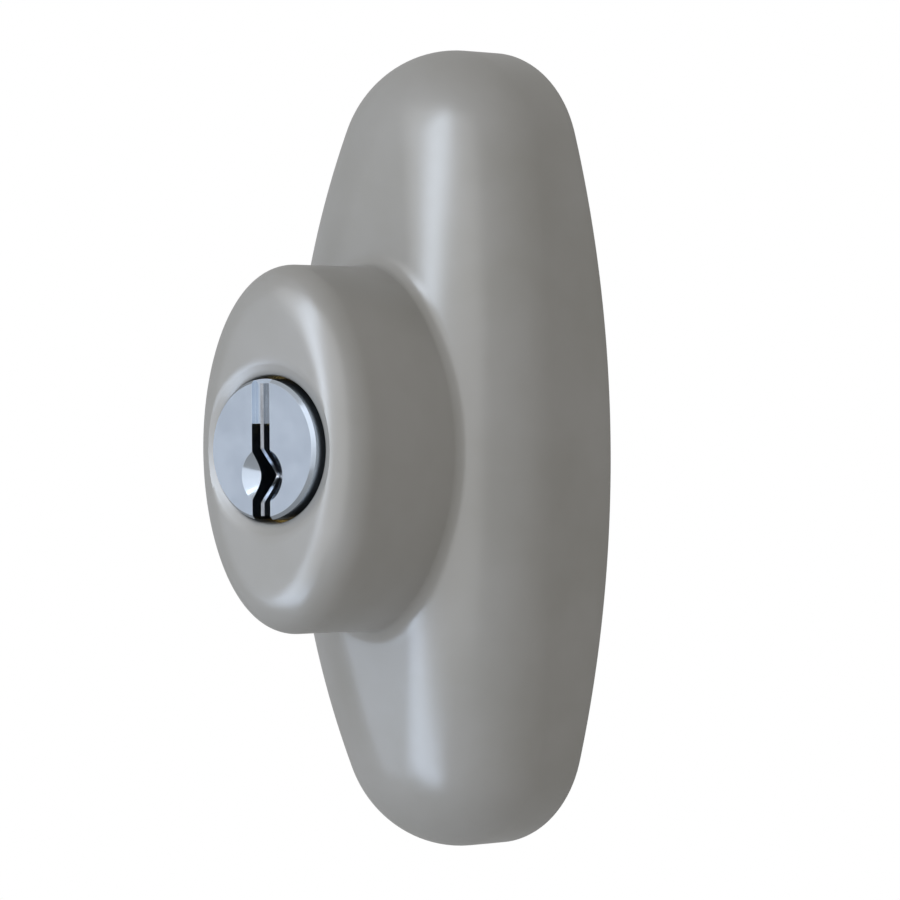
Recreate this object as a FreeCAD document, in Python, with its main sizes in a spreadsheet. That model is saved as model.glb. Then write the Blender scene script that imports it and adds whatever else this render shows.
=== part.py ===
import FreeCAD, Part
import math
import os
import Sketcher

# Surface lock for a patio door, in millimetres, +Z up.
# The origin is the middle of the mounting face. The front of the lock faces -Y, and "depth" is
# the distance in front of the mounting face, so a depth of 5 lies at Y = -5.

doc = FreeCAD.newDocument("PatioDoorLock")
sheet = doc.addObject("Spreadsheet::Sheet", "Sizes")

# Driving sizes: name, value, what it is
SIZES = [
    ("body_height", 73.0, "height of the oval body"),
    ("body_width", 28.5, "width of the oval body"),
    ("body_depth", 17.4, "depth of the body at the middle of its crown"),
    ("end_radius", 10.69, "radius of the oval's ends"),
    ("crown_radius", 130.0, "radius of the front's crown, seen from the side"),
    ("front_round", 9.3, "rounding between the front and the flanks"),
    ("wall", 2.2, "wall of the casting"),
    ("hollow_end", 12.0, "solid front part of the casting's ends"),
    ("end_hollow", 8.0, "depth of the hollow in the ends"),
    ("boss_width", 19.7, "width of the oval boss"),
    ("boss_height", 32.8, "height of the oval boss"),
    ("boss_side", 24.0, "radius of the boss's long sides"),
    ("boss_depth", 30.5, "depth of the boss's front face"),
    ("boss_round", 3.4, "rounding of the boss's front edge"),
    ("skirt_top", 0.1, "top of the boss's skirt behind the body's crown"),
    ("skirt_length", 3.0, "depth of the skirt"),
    ("skirt_slope", 26.0, "slope of the skirt"),
    ("boss_front", 2.5, "wall in front of the cylinder"),
    ("dish_radius", 7.75, "outer radius of the shallow dish round the plug"),
    ("dish_depth", 0.4, "depth of the dish"),
    ("plug_radius", 6.25, "radius of the key plug"),
    ("plug_proud", 0.7, "how far the plug stands in front of the boss"),
    ("plug_edge", 0.3, "chamfer of the plug's front edge"),
    ("plug_gap", 0.3, "gap between the plug and the hole in the boss"),
    ("turn_gap", 0.04, "radial clearance of the plug in its shell"),
    ("shell_radius", 8.0, "outer radius of the cylinder shell"),
    ("bible_width", 6.0, "width of the shell's pin housing"),
    ("bible_top", 13.5, "top of the shell's pin housing"),
    ("seat_gap", 0.1, "clearance of the cylinder in its sleeve"),
    ("sleeve_wall", 1.8, "wall of the sleeve round the cylinder"),
    ("key_left", 1.2, "keyway's left wall from the middle"),
    ("key_right", 0.95, "keyway's right wall from the middle"),
    ("key_top", 2.3, "top of the keyway above the middle"),
    ("shoulder_depth", 0.45, "depth of the groove for the key's shoulder"),
    ("pit_drop", 2.3, "conical pit's centre below the middle"),
    ("pit_radius", 2.45, "radius of the conical pit"),
    ("pit_depth", 2.2, "depth of the conical pit"),
    ("pit_tip", 0.05, "radius at the bottom of the pit"),
    ("leaf_thick", 0.4, "thickness of the leaf in the keyway"),
    ("leaf_depth", 2.0, "how far the leaf reaches into the keyway"),
    ("leaf_edge", 0.4, "leaf's ends from the plug's rim"),
    ("leaf_sunk", 0.05, "leaf's edge behind the plug's face"),
    ("leaf_step", 0.15, "leaf's step below the top of the keyway"),
    ("pin_gap", 0.05, "radial clearance of the pins in their chambers"),
    ("shear_gap", 0.05, "drivers above the shell's bore"),
    ("key_pin_gap", 0.2, "key pins below the plug's surface"),
    ("coil_gap", 0.1, "outside of a pin spring inside the pins' surface"),
    ("coil_wall", 0.4, "thickness of a pin spring"),
    ("touch_gap", 0.02, "gap between faces that touch"),
    ("pin_first", 3.8, "first chamber from the back of the shell"),
    ("pin_last", 3.1, "last chamber from the front of the shell"),
    ("pin_web", 0.4, "web between chambers"),
    ("pin_seat", 1.6, "bottom of the chambers above the middle"),
    ("driver_length", 3.85, "length of a driver pin"),
    ("cover_thick", 0.48, "thickness of the strip that closes the chambers"),
    ("cover_edge", 0.75, "shell's edge beside the strip"),
    ("cover_end", 1.0, "shell's edge at the strip's ends"),
    ("cover_gap", 0.05, "clearance of the strip in its groove"),
    ("clip_width", 0.7, "thickness of the plug's clip"),
    ("clip_radius", 6.9, "outer radius of the plug's clip"),
    ("clip_place", 0.75, "clip in front of the shell's back face"),
    ("clip_gap", 0.05, "clearance of the clip in its groove"),
    ("clip_room", 0.4, "room in front of the clip"),
    ("clip_mouth", 6.0, "opening of the clip"),
    ("groove_radius", 5.6, "radius of the plug in the clip's groove"),
    ("plug_step", 0.2, "plug's back face in front of the shell's"),
    ("key_end", 1.0, "keyway's end in front of the clip"),
    ("tail_radius", 3.5, "radius of the plug's tail in the retainer plate"),
    ("drive_radius", 2.2, "radius of the drive under the pinion"),
    ("drive_flat", 1.6, "flats of the drive from the middle"),
    ("drive_gap", 0.05, "clearance of the drive in the pinion"),
    ("drive_end", 0.1, "drive's end in front of the pinion's back"),
    ("tail_gap", 0.06, "radial clearance of the tail in the retainer plate"),
    ("base_thick", 2.0, "thickness of the base plate"),
    ("base_gap", 0.25, "clearance of the base plate in the housing"),
    ("fixing_pitch", 40.0, "distance between the two fixing holes"),
    ("fixing_radius", 2.25, "radius of the fixing holes"),
    ("fixing_sink", 4.0, "radius of their countersinks"),
    ("sink_depth", 1.2, "depth of their countersinks"),
    ("slide_gap", 0.2, "clearance in front of and behind the bolt"),
    ("bolt_thick", 4.0, "thickness of the bolt"),
    ("nose_width", 5.2, "width of the bolt's nose"),
    ("nose_left", 4.0, "nose's middle left of the body's middle"),
    ("nose_recess", 0.2, "how far the nose lies inside the housing's end"),
    ("bolt_side", 1.4, "bolt's width left of its window"),
    ("rack_back", 2.2, "bolt's width behind the rack"),
    ("bolt_bar", 3.8, "bar above the bolt's window"),
    ("tooth_module", 1.0, "module of the pinion and the rack"),
    ("pinion_teeth", 8.0, "teeth of the pinion"),
    ("pressure_angle", 25.0, "pressure angle of the teeth"),
    ("rack_tip", 0.7, "rack tooth above the pitch line"),
    ("window_gap", 0.6, "pinion's clearance in the bolt's window"),
    ("stop_gap", 0.2, "bolt's shoulder above its guide when it is out"),
    ("root_gap", 0.25, "clearance at the roots of the teeth"),
    ("backlash", 0.16, "play between the teeth"),
    ("retainer_thick", 1.5, "thickness of the retainer plate"),
    ("retainer_gap", 0.6, "clearance of the retainer plate in the housing"),
    ("retainer_height", 43.0, "height of the retainer plate"),
    ("post_radius", 2.6, "radius of the screw posts"),
    ("post_sink", 0.6, "how far the screw posts run into the sleeve"),
    ("guide_end", 7.5, "lower end of the bolt guide from the body's end"),
    ("guide_length", 3.5, "length of the bolt guide"),
    ("guide_wall", 1.1, "bridge of the guide in front of the bolt"),
    ("guide_cheek", 0.9, "cheeks of the guide beside the bolt"),
    ("guide_gap", 0.1, "clearance of the bolt in its guide"),
    ("lug_end", 6.0, "top of the lug from the body's end"),
    ("lug_thick", 2.0, "thickness of the lug"),
    ("lug_width", 6.0, "width of the lug"),
    ("lug_depth", 6.8, "depth of the lug's front edge"),
    ("screw_radius", 1.45, "radius of the housing's headless screw"),
    ("screw_depth", 4.4, "depth of the headless screw's axis"),
    ("screw_left", 3.4, "screw's axis left of the body's middle"),
    ("screw_sunk", 1.3, "screw's top from the body's end"),
    ("screw_past", 1.5, "screw's tip below the lug"),
    ("socket_depth", 1.2, "depth of the screw's hexagon socket"),
    ("socket_radius", 0.75, "radius of the socket over its corners"),
    ("fit_gap", 0.03, "radial clearance of what is fixed in a hole"),
    ("tip_room", 0.5, "room behind a screw's tip"),
    ("small_slot", 0.6, "width and depth of the small screws' slots"),
    ("tongue_end", 4.3, "lower end of the base plate's tongues from the body's end"),
    ("tongue_length", 7.8, "length of the tongues"),
    ("tongue_inner", 5.9, "inner side of a tongue from the middle"),
    ("tongue_outer", 7.5, "outer side of a tongue from the middle"),
    ("tongue_back", 0.8, "depth of the tongues' back"),
    ("spring_thick", 0.35, "thickness of the detent spring"),
    ("spring_width", 3.0, "width of the detent spring"),
    ("spring_gap", 1.35, "detent spring's outer side from the bolt"),
    ("spring_top", 15.0, "upper end of the detent spring"),
    ("foot_height", 5.0, "height of the detent spring's foot"),
    ("foot_width", 1.9, "width of the foot"),
    ("notch_edge", 4.2, "lower notch above the bolt's shoulder"),
    ("bump_half", 1.65, "half height of the spring's bump"),
    ("bump_back", 0.45, "thickness of the bump at its tip"),
    ("bump_gap", 0.25, "bump's tip from the bottom of a notch"),
    ("spring_tail", 4.0, "spring's lower end below its bump"),
    ("notch_radius", 1.1, "radius of the bolt's notches"),
    ("notch_depth", 0.6, "depth of the bolt's notches"),
    ("rivet_radius", 0.55, "radius of the rivet's shank"),
    ("rivet_head", 0.7, "radius of the rivet's head"),
    ("rivet_head_thick", 0.5, "thickness of the rivet's head"),
    ("rivet_tail", 0.4, "rivet's tail in front of the retainer plate"),
    ("rivet_edge", 0.75, "rivet from the edge of the foot"),
    ("rivet_height", 12.5, "rivet above the middle"),
    ("plate_screw", 1.2, "radius of the retainer screws' shanks"),
    ("plate_head", 2.1, "radius of the retainer screws' heads"),
    ("plate_head_thick", 0.9, "thickness of the retainer screws' heads"),
    ("plate_screw_length", 6.0, "length of a retainer screw"),
    ("pinion_thick", 3.2, "thickness of the pinion"),
    ("washer_radius", 2.8, "radius of the pinion screw's head"),
    ("washer_thick", 0.6, "thickness of the pinion screw's head"),
    ("pinion_screw_radius", 0.95, "radius of the pinion screw's shank"),
    ("pinion_screw_length", 5.0, "length of the pinion screw's shank"),
    ("hard_pin_radius", 0.85, "radius of the hardened pins in the bolt"),
    ("hard_pin_place", 1.3, "hardened pins from the nose's middle"),
    ("hard_pin_end", 2.6, "lower end of the hardened pins from the body's end"),
    ("hard_pin_length", 15.8, "length of the hardened pins"),
]


class Size:
    """A number together with the sheet expression that gives it."""

    def __init__(self, number, text):
        self.number = number
        self.text = text

    def __add__(self, other):
        other = as_size(other)
        return Size(self.number + other.number, f"({self.text} + {other.text})")

    def __sub__(self, other):
        other = as_size(other)
        return Size(self.number - other.number, f"({self.text} - {other.text})")

    def __mul__(self, other):
        other = as_size(other)
        return Size(self.number * other.number, f"({self.text} * {other.text})")

    def __truediv__(self, other):
        other = as_size(other)
        return Size(self.number / other.number, f"({self.text} / {other.text})")

    def __radd__(self, other):
        return as_size(other) + self

    def __rsub__(self, other):
        return as_size(other) - self

    def __rmul__(self, other):
        return as_size(other) * self

    def __neg__(self):
        return Size(-self.number, f"(0 - {self.text})")


def as_size(value):
    if isinstance(value, Size):
        return value
    return Size(float(value), f"({float(value)!r})")


def root(value):
    return Size(math.sqrt(value.number), f"sqrt({value.text})")


def tangent(angle):
    return Size(math.tan(math.radians(angle.number)), f"tan({angle.text})")


def fill_sheet():
    found = {}
    for row, (name, value, note) in enumerate(SIZES, start=1):
        sheet.set(f"A{row}", name)
        sheet.set(f"B{row}", str(value))
        sheet.set(f"C{row}", note)
        sheet.setAlias(f"B{row}", name)
        found[name] = Size(value, f"Sizes.{name}")
    return found


class Named:
    """The sheet's sizes as attributes."""

    def __init__(self, found):
        self.__dict__.update(found)


S = Named(fill_sheet())
doc.recompute()

# Sizes that follow from the driving ones
half_height = S.body_height / 2
half_width = S.body_width / 2
end_centre = half_height - S.end_radius
side_radius = (half_width * half_width + end_centre * end_centre - S.end_radius * S.end_radius) / (
    2 * (half_width - S.end_radius))
side_centre = side_radius - half_width
boss_half_height = S.boss_height / 2
boss_side_centre = S.boss_side - S.boss_width / 2
boss_end_radius = (
    S.boss_side * S.boss_side - boss_side_centre * boss_side_centre - boss_half_height * boss_half_height) / (
    2 * (S.boss_side - boss_half_height))
boss_end_centre = boss_half_height - boss_end_radius
bolt_back = S.base_thick + S.slide_gap
bolt_front = bolt_back + S.bolt_thick
plate_back = bolt_front + S.slide_gap
shell_back = plate_back + S.retainer_thick
shell_front = S.boss_depth - S.boss_front
plug_face = S.boss_depth + S.plug_proud
pitch_radius = S.tooth_module * S.pinion_teeth / 2
tip_radius = pitch_radius + S.tooth_module
bolt_travel = pitch_radius * math.pi
pinion_front = plate_back - S.slide_gap
pinion_back = pinion_front - S.pinion_thick
clip_back = shell_back + S.clip_place
sleeve_top = S.bible_top + S.seat_gap + S.sleeve_wall
post_place = sleeve_top + S.post_radius - S.post_sink
lug_high = half_height - S.lug_end
guide_low = half_height - S.guide_end
guide_high = guide_low - S.guide_length
shoulder = guide_high - bolt_travel - S.stop_gap
detent_drop = shoulder - S.notch_edge
window_half = tip_radius + S.window_gap
bolt_left = window_half + S.bolt_side
spring_side = bolt_left + S.spring_gap
foot_side = spring_side - S.spring_thick + S.foot_width
rivet_side = foot_side - S.rivet_edge
hard_pin_low = half_height - S.hard_pin_end
tongue_low = half_height - S.tongue_end

PIN_COUNT = 5
RACK_COUNT = 7
PAST = 1  # how far a cutting form runs past the face that it cuts
SHANK_SIDES = 12
PIN_SIDES = 8
SOCKET_SIDES = 6
pin_pitch = (shell_front - shell_back - S.pin_first - S.pin_last) / (PIN_COUNT - 1)
chamber_radius = (pin_pitch - S.pin_web) / 2
pin_radius = chamber_radius - S.pin_gap

FRONT = FreeCAD.Rotation(FreeCAD.Vector(1, 0, 0), 90)
UP = FreeCAD.Rotation()


def bind(thing, **values):
    for name, value in values.items():
        value = as_size(value)
        setattr(thing, name, value.number)
        if "Sizes." in value.text:
            thing.setExpression(name, value.text)
    return thing


def place(thing, across, depth, height, rotation=UP):
    spot = [as_size(across), -as_size(depth), as_size(height)]
    thing.Placement = FreeCAD.Placement(FreeCAD.Vector(*[s.number for s in spot]), rotation)
    for axis, value in zip("xyz", spot):
        if "Sizes." in value.text:
            thing.setExpression(f"Placement.Base.{axis}", value.text)
    return thing


def rod(name, radius, length, across, depth, height, rotation=UP):
    thing = doc.addObject("Part::Cylinder", name)
    bind(thing, Radius=radius, Height=length)
    return place(thing, across, depth, height, rotation)


def taper(name, radius, end, length, across, depth, height, rotation=UP):
    thing = doc.addObject("Part::Cone", name)
    bind(thing, Radius1=radius, Radius2=end, Height=length)
    return place(thing, across, depth, height, rotation)


def prism(name, radius, length, across, depth, height, rotation=UP, sides=SHANK_SIDES):
    """A small round part or hole with flat sides."""
    thing = doc.addObject("Part::Prism", name)
    thing.Polygon = sides
    bind(thing, Circumradius=radius, Height=length)
    return place(thing, across, depth, height, rotation)


def block(name, across, depth, height):
    """A box between pairs of limits."""
    thing = doc.addObject("Part::Box", name)
    low, high = [[as_size(pair[i]) for pair in (across, depth, height)] for i in (0, 1)]
    bind(thing, Length=high[0] - low[0], Width=high[1] - low[1], Height=high[2] - low[2])
    return place(thing, low[0], high[1], low[2])


def sorted_pair(first, second):
    return (first, second) if first.number < second.number else (second, first)


def fuse(name, *things):
    thing = doc.addObject("Part::MultiFuse", name)
    thing.Shapes = list(things)
    return thing


def cut(name, base, *tools):
    tool = tools[0] if len(tools) == 1 else fuse(name + "_tools", *tools)
    thing = doc.addObject("Part::Cut", name)
    thing.Base = base
    thing.Tool = tool
    return thing


def new_body(name):
    return doc.addObject("PartDesign::Body", name)


def new_sketch(body, name, role, offset=0):
    """A sketch on one of the body's own planes; on XZ_Plane its offset is a depth."""
    sketch = body.newObject("Sketcher::SketchObject", name)
    plane = next(item for item in body.Origin.OriginFeatures if item.Role == role)
    sketch.AttachmentSupport = [(plane, "")]
    sketch.MapMode = "FlatFace"
    offset = as_size(offset)
    sketch.AttachmentOffset = FreeCAD.Placement(FreeCAD.Vector(0, 0, offset.number), UP)
    if "Sizes." in offset.text:
        sketch.setExpression("AttachmentOffset.Base.z", offset.text)
    return sketch


def limit(sketch, kind, *places, value):
    value = as_size(value)
    index = sketch.addConstraint(Sketcher.Constraint(kind, *places, value.number))
    if "Sizes." in value.text:
        sketch.setExpression(f"Constraints[{index}]", value.text)


def pin_point(sketch, edge, end, across, height):
    limit(sketch, "DistanceX", -1, 1, edge, end, value=across)
    limit(sketch, "DistanceY", -1, 1, edge, end, value=height)


def draw_circle(sketch, across, height, radius):
    centre = FreeCAD.Vector(as_size(across).number, as_size(height).number, 0)
    circle = Part.Circle(centre, FreeCAD.Vector(0, 0, 1), as_size(radius).number)
    edge = sketch.addGeometry(circle, False)
    limit(sketch, "Radius", edge, value=radius)
    pin_point(sketch, edge, 3, across, height)


def draw_outline(sketch, corners, arcs=None):
    """A closed outline through the corners; arcs gives a side's centre and radius by its index."""
    arcs = arcs or {}
    points = [FreeCAD.Vector(as_size(x).number, as_size(z).number, 0) for x, z in corners]
    sides = []
    for index, start in enumerate(points):
        end = points[(index + 1) % len(points)]
        if index not in arcs:
            edge = sketch.addGeometry(Part.LineSegment(start, end), False)
            sides.append((edge, 1, 2))
            continue
        centre, radius = arcs[index]
        centre = FreeCAD.Vector(as_size(centre[0]).number, as_size(centre[1]).number, 0)
        outward = ((start + end) / 2 - centre).normalize()
        middle = centre + outward * as_size(radius).number
        edge = sketch.addGeometry(Part.Arc(start, middle, end), False)
        drawn = sketch.getPoint(edge, 1)
        forward = drawn.distanceToPoint(start) < drawn.distanceToPoint(end)
        sides.append((edge, 1, 2) if forward else (edge, 2, 1))
        limit(sketch, "Radius", edge, value=radius)
    for index, (edge, first, last) in enumerate(sides):
        following, other, _ = sides[(index + 1) % len(sides)]
        sketch.addConstraint(Sketcher.Constraint("Coincident", edge, last, following, other))
        pin_point(sketch, edge, first, *corners[index])


def draw_oval(sketch, inset=0, side=None, side_middle=None, end=None, end_middle=None):
    """An oval of two long side arcs and two end arcs, tangent; by default the body's outline."""
    side = (side or side_radius) - inset
    end = (end or S.end_radius) - inset
    side_middle = side_middle or side_centre
    end_middle = end_middle or end_centre
    turn = math.atan2(end_middle.number, side_middle.number)
    normal = FreeCAD.Vector(0, 0, 1)

    def arc(across, height, radius, first, last):
        circle = Part.Circle(FreeCAD.Vector(across, height, 0), normal, radius.number)
        return sketch.addGeometry(Part.ArcOfCircle(circle, first, last), False)

    right = arc(-side_middle.number, 0, side, -turn, turn)
    top = arc(0, end_middle.number, end, turn, math.pi - turn)
    left = arc(side_middle.number, 0, side, math.pi - turn, math.pi + turn)
    bottom = arc(0, -end_middle.number, end, math.pi + turn, 2 * math.pi - turn)
    ring = [right, top, left, bottom]
    for index, edge in enumerate(ring):
        sketch.addConstraint(Sketcher.Constraint("Tangent", edge, 2, ring[(index + 1) % 4], 1))
    pin_point(sketch, right, 3, -side_middle, 0)
    pin_point(sketch, left, 3, side_middle, 0)
    limit(sketch, "Radius", right, value=side)
    limit(sketch, "Radius", left, value=side)
    limit(sketch, "DistanceY", -1, 1, top, 3, value=end_middle)
    limit(sketch, "DistanceY", -1, 1, bottom, 3, value=-end_middle)


def pad(body, sketch, name, length, reverse=False):
    feature = body.newObject("PartDesign::Pad", name)
    feature.Profile = sketch
    feature.Reversed = reverse
    bind(feature, Length=length)
    return feature


def pocket(body, sketch, name, length=None, midplane=False, reverse=False):
    feature = body.newObject("PartDesign::Pocket", name)
    feature.Profile = sketch
    feature.Reversed = reverse
    if midplane:
        feature.SideType = "Symmetric"
    bind(feature, Length=length)
    return feature


def front_face(feature):
    doc.recompute()
    faces = feature.Shape.Faces
    nearest = min(range(len(faces)), key=lambda i: faces[i].CenterOfMass.y)
    return f"Face{nearest + 1}"


def bevel(body, feature, name, parts, size):
    thing = body.newObject("PartDesign::Chamfer", name)
    thing.Base = (feature, parts)
    bind(thing, Size=size)
    return thing


def round_front(body, feature, name, radius):
    """A rounding of the front edge, made of two flat strips that touch it."""
    steep = radius * (1 - math.tan(math.pi / 12))
    flat = steep * math.tan(math.pi / 6)
    first = bevel(body, feature, name + "_bevel", [front_face(feature)], steep)
    first.ChamferType = "Two distances"
    bind(first, Size2=flat)
    return bevel(body, first, name + "_finer", [front_face(first)], steep - flat)


# Domed body: the oval, a crown across its front, and a large rounding
def dome(body, name, inset, back, smooth):
    inset = as_size(inset)
    depth = S.body_depth - inset
    sketch = new_sketch(body, name + "_outline", "XZ_Plane", back)
    draw_oval(sketch, inset)
    pad(body, sketch, name + "_block", depth - back)
    crown = new_sketch(body, name + "_crown", "YZ_Plane")
    reach = half_height + PAST
    radius = S.crown_radius - inset
    drop = radius - root(radius * radius - reach * reach)
    edge = drop - depth
    draw_outline(
        crown,
        [(edge, -reach), (edge, reach), (-depth - PAST, reach), (-depth - PAST, -reach)],
        {0: ((radius - depth, 0), radius)})
    crowned = pocket(body, crown, name + "_crowned", S.body_width + PAST, midplane=True)
    rounding = S.front_round - inset
    if smooth:
        return round_front(body, crowned, name, rounding)
    return bevel(body, crowned, name + "_bevel", [front_face(crowned)], rounding * (2 - math.sqrt(2)))


def group(name, things):
    thing = doc.addObject("Part::Compound", name)
    thing.Links = things
    return thing


# Casting: domed body with the oval boss in one with it, on a sloped skirt
def boss_sketch(body, name, depth):
    sketch = new_sketch(body, name, "XZ_Plane", depth)
    draw_oval(
        sketch, side=S.boss_side, side_middle=boss_side_centre, end=boss_end_radius,
        end_middle=boss_end_centre)
    return sketch


def make_boss(body):
    skirt = pad(
        body, boss_sketch(body, "skirt_outline", S.body_depth - S.skirt_top), "skirt", S.skirt_length, True)
    bind(skirt, TaperAngle=S.skirt_slope)
    boss = pad(body, boss_sketch(body, "boss_outline", S.wall), "boss", S.boss_depth - S.wall)
    return round_front(body, boss, "boss", S.boss_round)


def make_housing():
    outside = new_body("housing_outside")
    dome(outside, "body", 0, 0, True)
    make_boss(outside)
    # What the casting leaves standing inside: the cylinder's sleeve and two screw posts
    core = new_body("core")
    dome(core, "core", S.wall, 0, False)
    sleeve_radius = S.shell_radius + S.seat_gap + S.sleeve_wall
    sleeve_half = S.bible_width / 2 + S.seat_gap + S.sleeve_wall
    inside_length = S.body_depth - shell_back
    middle_half = half_height - S.hollow_end
    middle = block(
        "middle_part", (-half_width, half_width), (-PAST, S.body_depth), (-middle_half, middle_half))
    deep = doc.addObject("Part::Common", "deep_hollow")
    deep.Base = core
    deep.Tool = middle
    low = new_body("low_hollow")
    low_sketch = new_sketch(low, "low_outline", "XZ_Plane")
    draw_oval(low_sketch, S.wall)
    pad(low, low_sketch, "low_pad", S.end_hollow)
    sleeve = rod("sleeve_round", sleeve_radius, inside_length, 0, shell_back, 0, FRONT)
    sleeve_box = block(
        "sleeve_box", (-sleeve_half, sleeve_half), (shell_back, S.body_depth), (-sleeve_top, sleeve_top))
    posts = []
    screw_holes = []
    for side, label in ((1, "upper"), (-1, "lower")):
        posts.append(rod(
            f"{label}_post", S.post_radius, inside_length, 0, shell_back, side * post_place, FRONT))
        screw_holes.append(prism(
            f"{label}_post_hole", S.plate_screw + S.fit_gap, S.plate_screw_length + S.tip_room, 0,
            shell_back - PAST, side * post_place, FRONT))
    hollow = cut("hollow", fuse("whole_hollow", deep, low), sleeve, sleeve_box, *posts)
    # Seat of the cylinder, the same up and down, and the dished hole for the plug
    bore = rod(
        "cylinder_bore", S.shell_radius + S.seat_gap, shell_front - shell_back + PAST, 0, shell_back - PAST,
        0, FRONT)
    slot_half = S.bible_width / 2 + S.seat_gap
    slot_top = S.bible_top + S.seat_gap
    slot = block("bible_slot", (-slot_half, slot_half), (shell_back - PAST, shell_front), (-slot_top, slot_top))
    hole_radius = S.plug_radius + S.plug_gap
    hole = rod("plug_hole", hole_radius, S.boss_front + 2 * PAST, 0, shell_front - PAST, 0, FRONT)
    dish = taper(
        "dish", hole_radius, S.dish_radius, S.dish_depth, 0, S.boss_depth - S.dish_depth, 0, FRONT)
    # Way out for the bolt in the lower end, pockets for the tongues, and the screw in the upper end
    exit_half = S.nose_width / 2 + S.guide_gap
    exit_slot = block(
        "exit_slot", (-S.nose_left - exit_half, -S.nose_left + exit_half),
        (bolt_back - S.guide_gap, bolt_front + S.guide_gap),
        (-half_height - PAST, -end_centre - PAST))
    pockets = [
        block(
            f"{label}_pocket",
            sorted_pair(side * (S.tongue_inner - S.seat_gap), side * (S.tongue_outer + S.seat_gap)),
            (S.tongue_back - S.seat_gap, S.base_thick + S.seat_gap),
            (-tongue_low - S.seat_gap, -end_centre))
        for side, label in ((1, "right"), (-1, "left"))]
    screw_hole = rod(
        "end_screw_hole", S.screw_radius + S.fit_gap, half_height + PAST - end_centre, -S.screw_left,
        S.screw_depth, end_centre)
    return cut(
        "housing", outside, hollow, bore, slot, hole, dish, exit_slot, *pockets, screw_hole, *screw_holes)


# Plate on the door, with its tongues, its threaded lug and the screw that holds the housing
def make_base():
    plate = new_body("base_oval")
    outline = new_sketch(plate, "base_outline", "XZ_Plane")
    draw_oval(outline, S.wall + S.base_gap)
    pad(plate, outline, "base_pad", S.base_thick)
    tongues = [
        block(
            f"{label}_tongue", sorted_pair(side * S.tongue_inner, side * S.tongue_outer),
            (S.tongue_back, S.base_thick), (-tongue_low, S.tongue_length - tongue_low))
        for side, label in ((1, "right"), (-1, "left"))]
    lug = block(
        "lug", (-S.screw_left - S.lug_width / 2, -S.screw_left + S.lug_width / 2), (0, S.lug_depth),
        (lug_high - S.lug_thick, lug_high))
    holes = [rod(
        "lug_hole", S.screw_radius + S.fit_gap, S.lug_thick + 2 * PAST, -S.screw_left, S.screw_depth,
        lug_high - S.lug_thick - PAST)]
    for side, label in ((1, "upper"), (-1, "lower")):
        spot = side * S.fixing_pitch / 2
        holes.append(rod(
            f"{label}_fixing", S.fixing_radius, S.base_thick + 2 * PAST, 0, -PAST, spot, FRONT))
        holes.append(taper(
            f"{label}_sink", S.fixing_radius, S.fixing_sink, S.sink_depth, 0, S.base_thick - S.sink_depth,
            spot, FRONT))
    return cut("base_plate", fuse("base_form", plate, *tongues, lug), *holes)


def make_base_screw():
    low = lug_high - S.lug_thick - S.screw_past
    top = half_height - S.screw_sunk
    stem = rod("base_stem", S.screw_radius, top - low, -S.screw_left, S.screw_depth, low)
    socket = prism(
        "base_socket", S.socket_radius, S.socket_depth + PAST, -S.screw_left, S.screw_depth,
        top - S.socket_depth, sides=SOCKET_SIDES)
    return cut("base_screw", stem, socket)


# Plate that holds the cylinder in the boss, and its two screws with sunk heads
def make_retainer():
    plate = new_body("retainer_form")
    outline = new_sketch(plate, "retainer_outline", "XZ_Plane", plate_back)
    high = S.retainer_height / 2
    side = side_radius - S.wall - S.retainer_gap
    wide = root(side * side - high * high) - side_centre
    draw_outline(
        outline, [(wide, -high), (wide, high), (-wide, high), (-wide, -high)],
        {0: ((-side_centre, 0), side), 2: ((side_centre, 0), side)})
    pad(plate, outline, "retainer_pad", S.retainer_thick)
    through = S.retainer_thick + 2 * PAST
    holes = [
        rod("tail_hole", S.tail_radius + S.tail_gap, through, 0, plate_back - PAST, 0, FRONT),
        prism(
            "rivet_hole", S.rivet_radius + S.fit_gap, through, -rivet_side, plate_back - PAST,
            S.rivet_height, FRONT)]
    screws = []
    for side, label in ((1, "upper"), (-1, "lower")):
        spot = side * post_place
        holes.append(prism(
            f"{label}_plate_hole", S.plate_screw + S.fit_gap, through, 0, plate_back - PAST, spot, FRONT))
        holes.append(rod(
            f"{label}_plate_sink", S.plate_head + S.fit_gap, S.plate_head_thick + PAST, 0, plate_back - PAST,
            spot, FRONT))
        head = rod(f"{label}_head", S.plate_head, S.plate_head_thick, 0, plate_back, spot, FRONT)
        shank = prism(f"{label}_shank", S.plate_screw, S.plate_screw_length, 0, plate_back, spot, FRONT)
        slot = block(
            f"{label}_slot", (-S.plate_head - PAST, S.plate_head + PAST),
            (plate_back - PAST, plate_back + S.small_slot),
            (spot - S.small_slot / 2, spot + S.small_slot / 2))
        screws.append(cut(f"{label}_screw", fuse(f"{label}_screw_form", head, shank), slot))
    return cut("retainer_plate", plate, *holes), group("retainer_screws", screws)


# Key cylinder: shell with its pin housing, drivers, springs and the strip over them
def chamber_depth(index):
    return shell_back + S.pin_first + index * pin_pitch


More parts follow.
